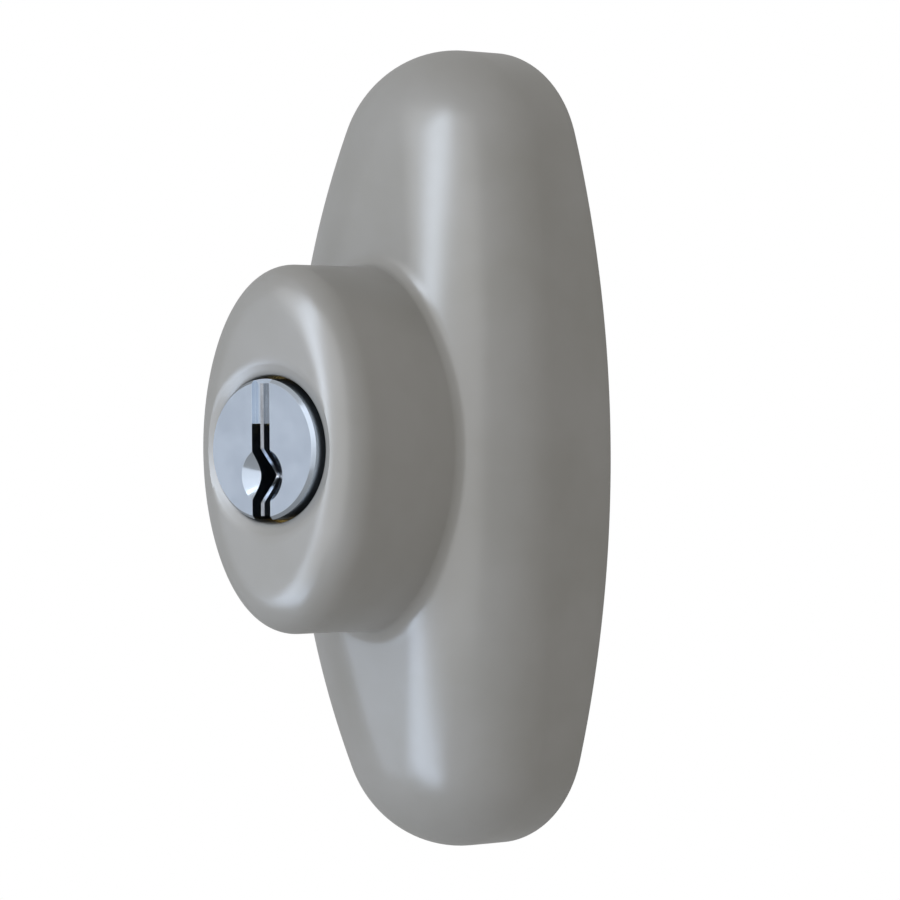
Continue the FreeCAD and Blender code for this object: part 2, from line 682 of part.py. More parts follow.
def make_cylinder():
    length = shell_front - shell_back
    barrel = rod("shell_barrel", S.shell_radius, length, 0, shell_back, 0, FRONT)
    bible = block(
        "shell_bible", (-S.bible_width / 2, S.bible_width / 2), (shell_back, shell_front), (0, S.bible_top))
    bore = rod("shell_bore", S.plug_radius + S.turn_gap, length + 2 * PAST, 0, shell_back - PAST, 0, FRONT)
    clip_room = rod(
        "clip_space", S.clip_radius + S.plug_gap, S.clip_place + S.clip_width + S.clip_room + PAST, 0,
        shell_back - PAST, 0, FRONT)
    cover_low = S.bible_top - S.cover_thick
    cover_half = S.bible_width / 2 - S.cover_edge
    room_half = cover_half + S.cover_gap
    room_end = S.cover_end - S.cover_gap
    cover_room = block(
        "cover_room", (-room_half, room_half), (shell_back + room_end, shell_front - room_end),
        (cover_low, S.bible_top + PAST))
    chambers = []
    drivers = []
    springs = []
    driver_low = S.plug_radius + S.turn_gap + S.shear_gap
    spring_low = driver_low + S.driver_length + S.touch_gap
    spring_length = cover_low - S.touch_gap - spring_low
    coil_radius = pin_radius - S.coil_gap
    for index in range(PIN_COUNT):
        depth = chamber_depth(index)
        chambers.append(prism(
            f"chamber_{index}", chamber_radius, S.bible_top - S.plug_radius + 2 * PAST, 0, depth,
            S.plug_radius - PAST, sides=PIN_SIDES))
        drivers.append(prism(
            f"driver_{index}", pin_radius, S.driver_length, 0, depth, driver_low, sides=PIN_SIDES))
        coil = prism(f"coil_{index}", coil_radius, spring_length, 0, depth, spring_low, sides=PIN_SIDES)
        middle = prism(
            f"coil_hole_{index}", coil_radius - S.coil_wall, spring_length + 2 * PAST, 0, depth,
            spring_low - PAST, sides=PIN_SIDES)
        springs.append(cut(f"spring_{index}", coil, middle))
    cylinder_shell = cut(
        "cylinder_shell", fuse("shell_form", barrel, bible), bore, clip_room, cover_room, *chambers)
    cover = block(
        "spring_cover", (-cover_half, cover_half), (shell_back + S.cover_end, shell_front - S.cover_end),
        (cover_low, S.bible_top))
    return cylinder_shell, group("driver_pins", drivers), group("pin_springs", springs), cover


# Plug, turned from brass, with its clip groove, its tail and the drive for the pinion
def make_plug():
    turned = new_body("plug_turned")
    profile = new_sketch(turned, "plug_profile", "YZ_Plane")
    groove_front = clip_back + S.clip_width + S.clip_gap
    groove_back = clip_back - S.clip_gap
    plug_back = shell_back + S.plug_step
    drive_back = pinion_back + S.drive_end
    steps = [
        (plug_face, 0), (plug_face, S.plug_radius - S.plug_edge), (plug_face - S.plug_edge, S.plug_radius),
        (groove_front, S.plug_radius), (groove_front, S.groove_radius), (groove_back, S.groove_radius),
        (groove_back, S.plug_radius), (plug_back, S.plug_radius), (plug_back, S.tail_radius),
        (pinion_front, S.tail_radius), (pinion_front, S.drive_radius), (drive_back, S.drive_radius),
        (drive_back, 0)]
    draw_outline(profile, [(-depth, radius) for depth, radius in steps])
    spin = turned.newObject("PartDesign::Revolution", "plug_spin")
    spin.Profile = profile
    spin.ReferenceAxis = (profile, ["H_Axis"])
    spin.Angle = 360
    keyway = block(
        "keyway", (-S.key_left, S.key_right), (clip_back + S.clip_width + S.key_end, plug_face + PAST),
        (-S.plug_radius - PAST, S.key_top))
    shoulder = block(
        "shoulder_groove", (-S.key_left, S.key_right), (plug_face - S.shoulder_depth, plug_face + PAST),
        (S.key_top - PAST, S.plug_radius + PAST))
    pit = key_pit("pit")
    flats = [
        block(
            f"{label}_flat", sorted_pair(side * S.drive_flat, side * (S.drive_radius + PAST)),
            (pinion_back - PAST, pinion_front), (-S.drive_radius - PAST, S.drive_radius + PAST))
        for side, label in ((1, "right"), (-1, "left"))]
    screw_hole = prism(
        "plug_screw_hole", S.pinion_screw_radius + S.fit_gap, S.pinion_screw_length + S.tip_room, 0,
        pinion_back, 0, FRONT)
    rooms = [
        prism(
            f"plug_chamber_{index}", chamber_radius, S.plug_radius, 0, chamber_depth(index), S.pin_seat,
            sides=PIN_SIDES)
        for index in range(PIN_COUNT)]
    return cut("plug", turned, keyway, shoulder, pit, screw_hole, *flats, *rooms)


def key_pit(name):
    return taper(name, S.pit_tip, S.pit_radius, S.pit_depth, 0, plug_face - S.pit_depth, -S.pit_drop, FRONT)


def make_key_pins():
    low = S.pin_seat + S.pin_gap
    length = S.plug_radius - S.key_pin_gap - low
    return group("key_pins", [
        prism(f"key_pin_{index}", pin_radius, length, 0, chamber_depth(index), low, sides=PIN_SIDES)
        for index in range(PIN_COUNT)])


# Spring leaf that stands in the keyway's mouth, its ends in the shoulder's groove and at the rim
def make_keyway_leaf():
    leaf = new_body("leaf_form")
    profile = new_sketch(leaf, "leaf_profile", "YZ_Plane")
    reach = S.plug_radius - S.leaf_edge
    front = plug_face - S.leaf_sunk
    floor = plug_face - S.shoulder_depth
    back = floor - S.leaf_depth
    step = S.key_top - S.leaf_step
    draw_outline(profile, [
        (-front, -reach), (-front, reach), (-floor, reach), (-floor, step), (-back, step), (-back, -reach)])
    sheet_pad = pad(leaf, profile, "leaf_pad", S.leaf_thick)
    sheet_pad.SideType = "Symmetric"
    return cut("keyway_leaf", leaf, key_pit("leaf_pit"))


def make_clip():
    ring = rod("clip_disc", S.clip_radius, S.clip_width, 0, clip_back, 0, FRONT)
    hole = rod(
        "clip_hole", S.groove_radius + S.clip_gap, S.clip_width + 2 * PAST, 0, clip_back - PAST, 0, FRONT)
    mouth = block(
        "clip_opening", (-S.clip_mouth / 2, S.clip_mouth / 2),
        (clip_back - PAST, clip_back + S.clip_width + PAST), (-S.clip_radius - PAST, 0))
    return cut("plug_clip", ring, hole, mouth)


# Pinion: involute teeth from the module, the number of teeth and the pressure angle
def pinion_wire():
    teeth = int(S.pinion_teeth.number)
    pitch = pitch_radius.number
    slope = math.radians(S.pressure_angle.number)
    base = pitch * math.cos(slope)
    tip = tip_radius.number
    foot = pitch - S.rack_tip.number - S.root_gap.number
    half_tooth = (math.pi * S.tooth_module.number - S.backlash.number) / 4 / pitch

    def flank_angle(radius):
        """Half the tooth's angle at a radius."""
        turn = math.acos(min(1, base / radius))
        return half_tooth + math.tan(slope) - slope - (math.tan(turn) - turn)

    def spot(radius, angle):
        return FreeCAD.Vector(radius * math.cos(angle), 0, radius * math.sin(angle))

    edges = []
    middle = (base + tip) / 2
    step = 2 * math.pi / teeth
    for index in range(teeth):
        axis = index * step
        base_half = flank_angle(base)
        edges.append(Part.LineSegment(spot(foot, axis - base_half), spot(base, axis - base_half)))
        edges.append(Part.Arc(
            spot(base, axis - base_half), spot(middle, axis - flank_angle(middle)),
            spot(tip, axis - flank_angle(tip))))
        edges.append(Part.LineSegment(spot(tip, axis - flank_angle(tip)), spot(tip, axis + flank_angle(tip))))
        edges.append(Part.Arc(
            spot(tip, axis + flank_angle(tip)), spot(middle, axis + flank_angle(middle)),
            spot(base, axis + base_half)))
        edges.append(Part.LineSegment(spot(base, axis + base_half), spot(foot, axis + base_half)))
        edges.append(Part.LineSegment(spot(foot, axis + base_half), spot(foot, axis + step - base_half)))
    return Part.Wire([edge.toShape() for edge in edges])


def make_pinion():
    blank = doc.addObject("Part::Feature", "pinion_teeth_form")
    blank.Shape = Part.Face(pinion_wire()).extrude(FreeCAD.Vector(0, -S.pinion_thick.number, 0))
    place(blank, 0, pinion_back, 0)
    bore = rod(
        "pinion_bore", S.drive_radius + S.drive_gap, S.pinion_thick + 2 * PAST, 0, pinion_back - PAST, 0, FRONT)
    flat = S.drive_flat + S.drive_gap
    keep = block(
        "pinion_flats", (-flat, flat), (pinion_back - PAST, pinion_front + PAST),
        (-S.drive_radius - PAST, S.drive_radius + PAST))
    double_flat = doc.addObject("Part::Common", "pinion_hole")
    double_flat.Base = bore
    double_flat.Tool = keep
    return cut("drive_pinion", blank, double_flat)


def make_pinion_screw():
    washer = rod("pinion_washer", S.washer_radius, S.washer_thick, 0, pinion_back - S.washer_thick, 0, FRONT)
    shank = prism("pinion_shank", S.pinion_screw_radius, S.pinion_screw_length, 0, pinion_back, 0, FRONT)
    slot_half = S.small_slot / 2
    slot = block(
        "pinion_slot", (-S.washer_radius - PAST, S.washer_radius + PAST),
        (pinion_back - S.washer_thick - PAST, pinion_back - S.washer_thick / 2), (-slot_half, slot_half))
    return cut("pinion_screw", fuse("pinion_screw_form", washer, shank), slot)


# Bolt: flat bar with a window, a rack along the window's right side and two detent notches
def make_bolt():
    bar = new_body("bolt_bar_form")
    nose_radius = S.end_radius - S.nose_recess
    nose_left = -S.nose_left - S.nose_width / 2
    nose_right = -S.nose_left + S.nose_width / 2

    def nose_end(across):
        return -end_centre - root(nose_radius * nose_radius - across * across)

    rack_root = tip_radius + S.root_gap
    right = rack_root + S.rack_back
    top = bolt_travel + window_half + S.bolt_bar
    outline = new_sketch(bar, "bolt_outline", "XZ_Plane", bolt_back)
    draw_outline(
        outline,
        [(nose_left, nose_end(nose_left)), (nose_right, nose_end(nose_right)), (nose_right, -shoulder),
         (right, -shoulder), (right, top), (-bolt_left, top), (-bolt_left, -shoulder), (nose_left, -shoulder)],
        {0: ((0, -end_centre), nose_radius)})
    pad(bar, outline, "bolt_pad", S.bolt_thick)
    window = new_sketch(bar, "bolt_window", "XZ_Plane", bolt_front)
    rack_line = pitch_radius - S.rack_tip
    window_top = bolt_travel + window_half
    draw_outline(window, [(-window_half, -window_half), (rack_line, -window_half), (rack_line, window_top),
                          (-window_half, window_top)])
    pocket(bar, window, "bolt_opening", S.bolt_thick + PAST)
    notches = new_sketch(bar, "bolt_notches", "XZ_Plane", bolt_front)
    notch_side = -bolt_left - (S.notch_radius - S.notch_depth)
    draw_circle(notches, notch_side, -detent_drop, S.notch_radius)
    draw_circle(notches, notch_side, bolt_travel - detent_drop, S.notch_radius)
    pocket(bar, notches, "bolt_notched", S.bolt_thick + PAST)
    gap = new_sketch(bar, "rack_gap", "XZ_Plane", bolt_front)
    slope = tangent(S.pressure_angle)
    tooth_pitch = S.tooth_module * math.pi
    middle_half = (tooth_pitch + S.backlash) / 4
    mouth = rack_line - S.root_gap
    mouth_half = middle_half + (pitch_radius - mouth) * slope
    root_half = middle_half - (rack_root - pitch_radius) * slope
    first = -tooth_pitch
    draw_outline(gap, [(mouth, first - mouth_half), (rack_root, first - root_half),
                       (rack_root, first + root_half), (mouth, first + mouth_half)])
    gap_cut = pocket(bar, gap, "rack_gap_cut", S.bolt_thick + PAST)
    rack = bar.newObject("PartDesign::LinearPattern", "rack")
    rack.Originals = [gap_cut]
    rack.Direction = (gap, ["V_Axis"])
    rack.Occurrences = RACK_COUNT
    bind(rack, Length=tooth_pitch * (RACK_COUNT - 1))
    bar.Tip = rack
    middle = bolt_back + S.bolt_thick / 2
    holes = []
    pins = []
    for side, label in ((1, "right"), (-1, "left")):
        spot = side * S.hard_pin_place - S.nose_left
        holes.append(prism(
            f"{label}_hard_hole", S.hard_pin_radius + S.fit_gap, S.hard_pin_length + S.touch_gap + 2 * PAST,
            spot, middle, -hard_pin_low - 2 * PAST))
        pins.append(prism(
            f"{label}_hard_pin", S.hard_pin_radius, S.hard_pin_length, spot, middle, -hard_pin_low))
    return cut("bolt", bar, *holes), group("bolt_pins", pins)


def make_guide():
    half = S.nose_width / 2 + S.guide_gap
    left = -S.nose_left - half
    right = -S.nose_left + half
    front = bolt_front + S.slide_gap + S.guide_wall
    saddle = block(
        "guide_block", (left - S.guide_cheek, right + S.guide_cheek), (S.base_thick, front),
        (-guide_low, -guide_high))
    way = block(
        "guide_way", (left, right), (S.base_thick - PAST, bolt_front + S.guide_gap),
        (-guide_low - PAST, -guide_high + PAST))
    return cut("bolt_guide", saddle, way)


# Leaf spring with a bump that drops into the bolt's notches, riveted to the retainer plate
def make_detent():
    strip = new_body("detent_strip")
    middle = bolt_back + S.bolt_thick / 2
    outline = new_sketch(strip, "detent_outline", "XZ_Plane", middle - S.spring_width / 2)
    outer = -spring_side
    inner = outer + S.spring_thick
    tip = -bolt_left + S.notch_depth - S.bump_gap
    at = -detent_drop
    end = at - S.spring_tail
    bump = S.bump_half
    inner_bump = bump - S.bump_back / 3
    draw_outline(outline, [
        (outer, S.spring_top), (outer, at + bump), (tip - S.bump_back, at), (outer, at - bump), (outer, end),
        (inner, end), (inner, at - inner_bump), (tip, at), (inner, at + inner_bump), (inner, S.spring_top)])
    pad(strip, outline, "detent_pad", S.spring_width)
    foot_low = S.spring_top - S.foot_height
    web = block("detent_web", (outer, inner), (middle, plate_back), (foot_low, S.spring_top))
    foot = block(
        "detent_foot", (-foot_side, inner), (plate_back - S.spring_thick, plate_back), (foot_low, S.spring_top))
    hole = prism(
        "detent_hole", S.rivet_radius + S.fit_gap, 2 * PAST, -rivet_side, plate_back - PAST,
        S.rivet_height, FRONT)
    spring = cut("detent_spring", fuse("detent_form", strip, web, foot), hole)
    head_back = plate_back - S.spring_thick - S.rivet_head_thick
    head = prism(
        "rivet_head_form", S.rivet_head, S.rivet_head_thick, -rivet_side, head_back, S.rivet_height, FRONT)
    shank = prism(
        "rivet_shank", S.rivet_radius, S.rivet_head_thick + S.spring_thick + S.retainer_thick + S.rivet_tail,
        -rivet_side, head_back, S.rivet_height, FRONT)
    return spring, fuse("detent_rivet", head, shank)


NODES = [
    make_housing(),
    make_base(),
    make_base_screw(),
    *make_retainer(),
    *make_cylinder(),
    make_plug(),
    make_key_pins(),
    make_keyway_leaf(),
    make_clip(),
    make_pinion(),
    make_pinion_screw(),
    *make_bolt(),
    make_guide(),
    *make_detent(),
]

doc.recompute()
faults = [item.Name for item in doc.Objects if "Invalid" in item.State or "Error" in item.State]
for node in NODES:
    if node.Shape.isNull() or not node.Shape.isValid():
        faults.append(node.Label)
if faults:
    raise SystemExit(f"failed: {faults}")

os.makedirs("parts", exist_ok=True)
for node in NODES:
    node.Shape.exportStep(f"parts/{node.Label}.step")
    print(node.Label, len(node.Shape.Solids), round(node.Shape.Volume, 2))
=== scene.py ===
import math
import bmesh
import bpy
import numpy as np
from mathutils import Matrix, Vector


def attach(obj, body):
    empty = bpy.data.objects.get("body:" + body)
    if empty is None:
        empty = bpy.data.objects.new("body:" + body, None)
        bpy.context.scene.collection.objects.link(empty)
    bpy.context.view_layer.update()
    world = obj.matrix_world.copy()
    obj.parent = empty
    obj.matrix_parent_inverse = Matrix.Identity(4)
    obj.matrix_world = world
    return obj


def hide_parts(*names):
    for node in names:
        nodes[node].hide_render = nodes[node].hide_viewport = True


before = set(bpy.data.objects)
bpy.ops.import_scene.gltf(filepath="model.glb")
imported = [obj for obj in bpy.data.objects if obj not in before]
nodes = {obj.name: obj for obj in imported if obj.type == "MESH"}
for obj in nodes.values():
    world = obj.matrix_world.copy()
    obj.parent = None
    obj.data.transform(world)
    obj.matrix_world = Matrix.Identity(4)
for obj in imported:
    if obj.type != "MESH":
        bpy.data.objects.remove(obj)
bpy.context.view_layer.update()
mm = 0.001
mmPerMetre = 1000


def linearColour(hexCode):
    channels = [int(hexCode[i:i + 2], 16) / 255 for i in (1, 3, 5)]
    linear = [c / 12.92 if c <= 0.04045 else ((c + 0.055) / 1.055) ** 2.4 for c in channels]
    return (*linear, 1)


# A number as a name is the place of a socket; a text is a setting of the node or a socket's name
def addNode(material, kind, settings=None, links=None):
    node = material.node_tree.nodes.new(kind)
    for name, value in (settings or {}).items():
        if isinstance(name, str) and hasattr(node, name):
            setattr(node, name, value)
        else:
            node.inputs[name].default_value = value
    for name, source in (links or {}).items():
        material.node_tree.links.new(source, node.inputs[name])
    return node


# The same for all finishes: an edge's wear or a gap's painted shade starts to show at the first
# number and is full at the second; edgePolish is what a rubbed edge loses in roughness
wear = {
    "edgeSeen": (0.99, 0.8), "gapSeen": (0.45, 0.15), "samples": 4, "edgePolish": -0.08,
    "paintedShadeColour": "#1d1c1a", "patchSeen": (0.35, 0.65), "patchDetail": 3.0, "grainDetail": 2.0}


# Finely textured surface: colour wanders with one noise, roughness and bump with a finer one;
# edges are rubbed brighter and smoother, narrow gaps are darkened with painted shade. Sizes in a
# look are in millimetres; texture space is in metres, so a scale is 1000 / size. A metal keeps the
# shader's own IOR of 1.5.
def surfaceMaterial(name, look):
    material = bpy.data.materials.new(name)
    material.use_nodes = True
    material.node_tree.nodes.clear()
    place = addNode(material, "ShaderNodeTexCoord").outputs["Object"]
    if "stretch" in look:
        place = addNode(
            material, "ShaderNodeMapping", {"Scale": look["stretch"]},
            {"Vector": place}).outputs["Vector"]
    wander = addNode(
        material, "ShaderNodeTexNoise",
        {"Scale": mmPerMetre / look["patchSize"], "Detail": wear["patchDetail"]}, {"Vector": place})
    grain = addNode(
        material, "ShaderNodeTexNoise",
        {"Scale": mmPerMetre / look["grainSize"], "Detail": wear["grainDetail"]}, {"Vector": place})
    colour = addNode(material, "ShaderNodeValToRGB", {}, {"Fac": wander.outputs["Fac"]})
    shades = (look["darker"], look["lighter"])
    for stop, position, shade in zip(colour.color_ramp.elements, wear["patchSeen"], shades):
        stop.position = position
        stop.color = linearColour(shade)
    softened = addNode(
        material, "ShaderNodeBevel", {"samples": wear["samples"], "Radius": look["edgeWidth"] * mm})
    facing = addNode(material, "ShaderNodeNewGeometry").outputs["Normal"]
    agreement = addNode(
        material, "ShaderNodeVectorMath", {"operation": "DOT_PRODUCT"},
        {0: softened.outputs["Normal"], 1: facing})
    edge = addNode(
        material, "ShaderNodeMapRange",
        {"From Min": wear["edgeSeen"][0], "From Max": wear["edgeSeen"][1],
         "To Max": look["edgeWear"]},
        {"Value": agreement.outputs["Value"]}).outputs["Result"]
    rubbed = addNode(
        material, "ShaderNodeMixRGB", {"Color2": linearColour(look["edgeColour"])},
        {"Fac": edge, "Color1": colour.outputs["Color"]})
    # Painted shade: narrow gaps and hollows that ambient occlusion finds are darkened towards a
    # near-black colour
    openness = addNode(
        material, "ShaderNodeAmbientOcclusion",
        {"samples": wear["samples"], "Distance": look["gapReach"] * mm}).outputs["AO"]
    gapShade = addNode(
        material, "ShaderNodeMapRange",
        {"From Min": wear["gapSeen"][0], "From Max": wear["gapSeen"][1], "To Max": look["paintedShade"]},
        {"Value": openness})
    gapShaded = addNode(
        material, "ShaderNodeMixRGB", {"Color2": linearColour(wear["paintedShadeColour"])},
        {"Fac": gapShade.outputs["Result"], "Color1": rubbed.outputs["Color"]})
    smoothest = look["roughness"] - look["roughnessSwing"]
    roughest = look["roughness"] + look["roughnessSwing"]
    rough = addNode(
        material, "ShaderNodeMapRange", {"To Min": smoothest, "To Max": roughest},
        {"Value": grain.outputs["Fac"]})
    polish = addNode(
        material, "ShaderNodeMath", {"operation": "MULTIPLY_ADD", 1: wear["edgePolish"]},
        {0: edge, 2: rough.outputs["Result"]})
    bump = addNode(
        material, "ShaderNodeBump", {"Strength": look["bump"], "Distance": look["bumpHeight"] * mm},
        {"Height": grain.outputs["Fac"]})
    shader = addNode(
        material, "ShaderNodeBsdfPrincipled",
        {"Metallic": look.get("metallic", 0.0), "IOR": look.get("ior", 1.5)},
        {"Base Color": gapShaded.outputs["Color"], "Roughness": polish.outputs["Value"],
         "Normal": bump.outputs["Normal"]})
    addNode(material, "ShaderNodeOutputMaterial", {}, {"Surface": shader.outputs["BSDF"]})
    return material


# Stove enamel with fine metal flake on die-cast zinc, sprayed: warm grey, satin, a faint ripple
satinEnamel = surfaceMaterial("SatinGreyEnamel", {
    "darker": "#8e8b84", "lighter": "#93908a", "roughness": 0.3, "roughnessSwing": 0.02,
    "metallic": 0.3, "patchSize": 9.0, "grainSize": 0.9, "bump": 0.08, "bumpHeight": 0.02,
    "edgeWidth": 0.25, "edgeWear": 0.35, "edgeColour": "#a6a49f", "gapReach": 1.2, "paintedShade": 0.6})

# Nickel and chrome plate on turned brass: cool bright grey with fine polishing haze
chromedBrass = surfaceMaterial("ChromedBrass", {
    "darker": "#bac3cd", "lighter": "#c3ccd6", "roughness": 0.17, "roughnessSwing": 0.03,
    "metallic": 1.0, "patchSize": 3.0, "grainSize": 0.25, "bump": 0.05, "bumpHeight": 0.01,
    "edgeWidth": 0.12, "edgeWear": 0.8, "edgeColour": "#dde3ea", "gapReach": 0.5, "paintedShade": 0.2})

# Drawn brass, machined: warm yellow, slightly dulled, with fine lines from front to back
machinedBrass = surfaceMaterial("MachinedBrass", {
    "darker": "#b0904e", "lighter": "#c4a45c", "roughness": 0.3, "roughnessSwing": 0.06,
    "metallic": 1.0, "patchSize": 4.0, "grainSize": 0.2, "bump": 0.08, "bumpHeight": 0.01,
    "stretch": (6.0, 1.0, 6.0),
    "edgeWidth": 0.15, "edgeWear": 0.6, "edgeColour": "#dcc080", "gapReach": 1.5, "paintedShade": 0.95})

# Pressed steel, bright zinc plate: blue-grey with a cloudy bloom
zincPlatedSteel = surfaceMaterial("ZincPlatedSteel", {
    "darker": "#9fa5ab", "lighter": "#b7bcc0", "roughness": 0.38, "roughnessSwing": 0.08,
    "metallic": 1.0, "patchSize": 5.0, "grainSize": 0.35, "bump": 0.15, "bumpHeight": 0.01,
    "edgeWidth": 0.15, "edgeWear": 0.6, "edgeColour": "#cfd3d6", "gapReach": 1.0, "paintedShade": 0.5})

# Rolled spring steel, polished by its rolls: grey with lines along the strip
springSteel = surfaceMaterial("SpringSteel", {
    "darker": "#9a9b9c", "lighter": "#b4b6b8", "roughness": 0.24, "roughnessSwing": 0.05,
    "metallic": 1.0, "patchSize": 2.0, "grainSize": 0.12, "bump": 0.1, "bumpHeight": 0.006,
    "stretch": (6.0, 6.0, 1.0),
    "edgeWidth": 0.08, "edgeWear": 0.5, "edgeColour": "#cdd0d3", "gapReach": 0.8, "paintedShade": 0.6})

# Hardened steel, blued by its heat treatment
hardenedSteel = surfaceMaterial("HardenedSteel", {
    "darker": "#5c6066", "lighter": "#73777c", "roughness": 0.3, "roughnessSwing": 0.05,
    "metallic": 1.0, "patchSize": 2.5, "grainSize": 0.2, "bump": 0.08, "bumpHeight": 0.008,
    "edgeWidth": 0.1, "edgeWear": 0.5, "edgeColour": "#9a9ea3", "gapReach": 0.8, "paintedShade": 0.4})

# Sintered steel: dull grey with open pores
sinteredSteel = surfaceMaterial("SinteredSteel", {
    "darker": "#77787a", "lighter": "#8c8d8f", "roughness": 0.48, "roughnessSwing": 0.08,
    "metallic": 1.0, "patchSize": 1.5, "grainSize": 0.12, "bump": 0.3, "bumpHeight": 0.02,
    "edgeWidth": 0.12, "edgeWear": 0.6, "edgeColour": "#b4b5b6", "gapReach": 1.0, "paintedShade": 0.6})

# Moulded acetal: black and waxy
mouldedAcetal = surfaceMaterial("MouldedAcetal", {
    "darker": "#1c1c1d", "lighter": "#242425", "roughness": 0.42, "roughnessSwing": 0.04,
    "ior": 1.48, "patchSize": 4.0, "grainSize": 0.3, "bump": 0.1, "bumpHeight": 0.01,
    "edgeWidth": 0.15, "edgeWear": 0.4, "edgeColour": "#3a3a3b", "gapReach": 0.8, "paintedShade": 0.3})

finishes = {
    "base_plate": zincPlatedSteel, "base_screw": zincPlatedSteel, "retainer_plate": zincPlatedSteel,
    "retainer_screws": zincPlatedSteel, "cylinder_shell": machinedBrass,
    "driver_pins": machinedBrass, "pin_springs": springSteel, "spring_cover": machinedBrass,
    "plug": chromedBrass, "key_pins": machinedBrass, "keyway_leaf": springSteel,
    "plug_clip": springSteel, "drive_pinion": sinteredSteel, "pinion_screw": zincPlatedSteel,
    "bolt": zincPlatedSteel, "bolt_pins": hardenedSteel, "bolt_guide": mouldedAcetal,
    "detent_spring": springSteel, "detent_rivet": zincPlatedSteel, "housing": satinEnamel}
for name, finish in finishes.items():
    nodes[name].data.materials.clear()
    nodes[name].data.materials.append(finish)
print("materials: done")

# The housing is drawn finer than its solid. Sizes are in millimetres; holeRim is how far each of
# three rings lies outside the hole and below its mouth; shoulder is how far round the boss's
# rounding the front's rows reach, and domeShoulder the same for the dome
housing = {
    "halfHeight": 36.5, "halfWidth": 14.25, "endRadius": 10.69, "crownRadius": 130.0,
    "depth": 17.4, "frontRound": 9.3, "wall": 2.2, "backEdge": 0.25,
    "bossHalfWidth": 9.85, "bossHalfHeight": 16.4, "bossDepth": 30.5, "bossRound": 3.5,
    "bossFillet": 1.5, "holeRadius": 6.55, "holeFloor": 27.9, "dishRadius": 7.75,
    "dishDepth": 0.4, "holeRim": ((0.0, 0.2), (0.02, 0.1), (0.07, 0.02)), "holeRimWidth": 0.15,
    "shoulder": 0.5, "domeShoulder": 0.56, "sharpFrom": 30}

# Faces round the housing, and rows of them from the hole's mouth out to the back
fineness = {
    "columns": 360, "dishRows": (0.35, 0.7, 1.0), "frontRows": 10, "roundRows": 8, "wallRows": 6,
    "filletRows": 8, "domeRows": 30, "domeRoundRows": 16, "flankRows": 6,
    "backEdgeTurns": (30, 60, 90), "bossSpine": 720, "sideSpine": 160, "endSpine": 100,
    "contactPoints": 200, "headings": 2000, "halvings": 40}

endCentre = housing["halfHeight"] - housing["endRadius"]
sideRadius = (housing["halfWidth"] ** 2 + endCentre ** 2 - housing["endRadius"] ** 2) / (
    2 * (housing["halfWidth"] - housing["endRadius"]))
sideCentre = sideRadius - housing["halfWidth"]
sideTurn = math.atan2(endCentre, sideCentre)  # where the side's arc meets the end's
circle = 2 * math.pi


def fullTurn(count):
    return np.linspace(0, circle, count + 1)[:-1]


def steps(count):
    return np.linspace(0, 1, count + 1)[1:]


# Points are (across, height, depth), depth towards the front
def ovalPoints(angles, inset):
    angles = np.mod(angles + sideTurn, circle) - sideTurn
    right = angles <= sideTurn
    top = (angles > sideTurn) & (angles < math.pi - sideTurn)
    left = (angles >= math.pi - sideTurn) & (angles <= math.pi + sideTurn)
    across = np.where(right, -sideCentre, np.where(left, sideCentre, 0.0))
    height = np.where(top, endCentre, np.where(right | left, 0.0, -endCentre))
    radius = np.where(right | left, sideRadius, housing["endRadius"]) - inset
    return np.stack([across + radius * np.cos(angles), height + radius * np.sin(angles)])


# Directions on the shortest way round from one to the other
def slerp(first, second, share):
    angle = np.arccos(np.clip((first * second).sum(0), -1, 1))
    return (first * np.sin((1 - share) * angle) + second * np.sin(share * angle)) / np.sin(angle)


# The front's rounding is a ball rolled along inside the wall and the crown; inset 0 is the outside
class Dome:
    def __init__(self, inset):
        self.crown = housing["crownRadius"] - inset
        self.ball = housing["frontRound"] - inset
        self.depth = housing["depth"] - inset
        side = np.linspace(-sideTurn, sideTurn, fineness["sideSpine"] + 1)[:-1]
        end = np.linspace(sideTurn, math.pi - sideTurn, fineness["endSpine"] + 1)[:-1]
        self.spine = self.spineAt(np.concatenate([side, end, side + math.pi, end + math.pi]))
        self.contact = self.spineAt(np.linspace(0, math.pi / 2, fineness["contactPoints"]))

    def spineAt(self, angles):
        across, height = ovalPoints(angles, housing["frontRound"])
        level = self.depth - self.crown
        lift = np.sqrt((self.crown - self.ball) ** 2 - height ** 2)
        return np.stack([across, height, level + lift])

    def rounding(self, angles, share):
        spine = self.spineAt(angles)
        tilt = spine[1] / (self.crown - self.ball)
        crownWay = np.stack([0 * tilt, tilt, np.sqrt(1 - tilt ** 2)])
        wallWay = np.stack([np.cos(angles), np.sin(angles), 0 * angles])
        return spine + self.ball * slerp(crownWay, wallWay, share)

    # extra thickens the dome, to find where a ball that rests on it has its centre
    def depthAt(self, across, height, extra=0.0):
        stretch = (self.crown + extra) / (self.crown - self.ball)
        reach = np.interp(np.abs(height), self.contact[1] * stretch, self.contact[0], right=-1)
        crowned = self.depth - self.crown + np.sqrt((self.crown + extra) ** 2 - height ** 2)
        rounded = ballDepth(across, height, self.spine, self.ball + extra)
        return np.where(np.abs(across) <= reach, crowned, rounded)


# The ball's reading at the best point of the spine is refined by a parabola through its neighbours
rolling = {"farBelow": 100, "leastBend": 1e-9, "mostBend": 1}


def ballDepth(across, height, spine, radius):
    gap = radius ** 2 - (across[:, None] - spine[0]) ** 2 - (height[:, None] - spine[1]) ** 2
    lift = spine[2] + np.sqrt(np.maximum(gap, 0)) - rolling["farBelow"] * (gap < 0)
    rows = np.arange(len(lift))
    best = lift.argmax(1)
    here = lift[rows, best]
    before = lift[rows, best - 1]
    after = lift[rows, (best + 1) % lift.shape[1]]
    bend = before - 2 * here + after
    usable = (bend < -rolling["leastBend"]) & (bend > -rolling["mostBend"])
    return here - np.where(usable, (before - after) ** 2 / (8 * np.where(usable, bend, -1)), 0)


def polar(points):
    return np.arctan2(points[1], points[0])


def radial(angles, radius):
    return np.stack([radius * np.cos(angles), radius * np.sin(angles)])


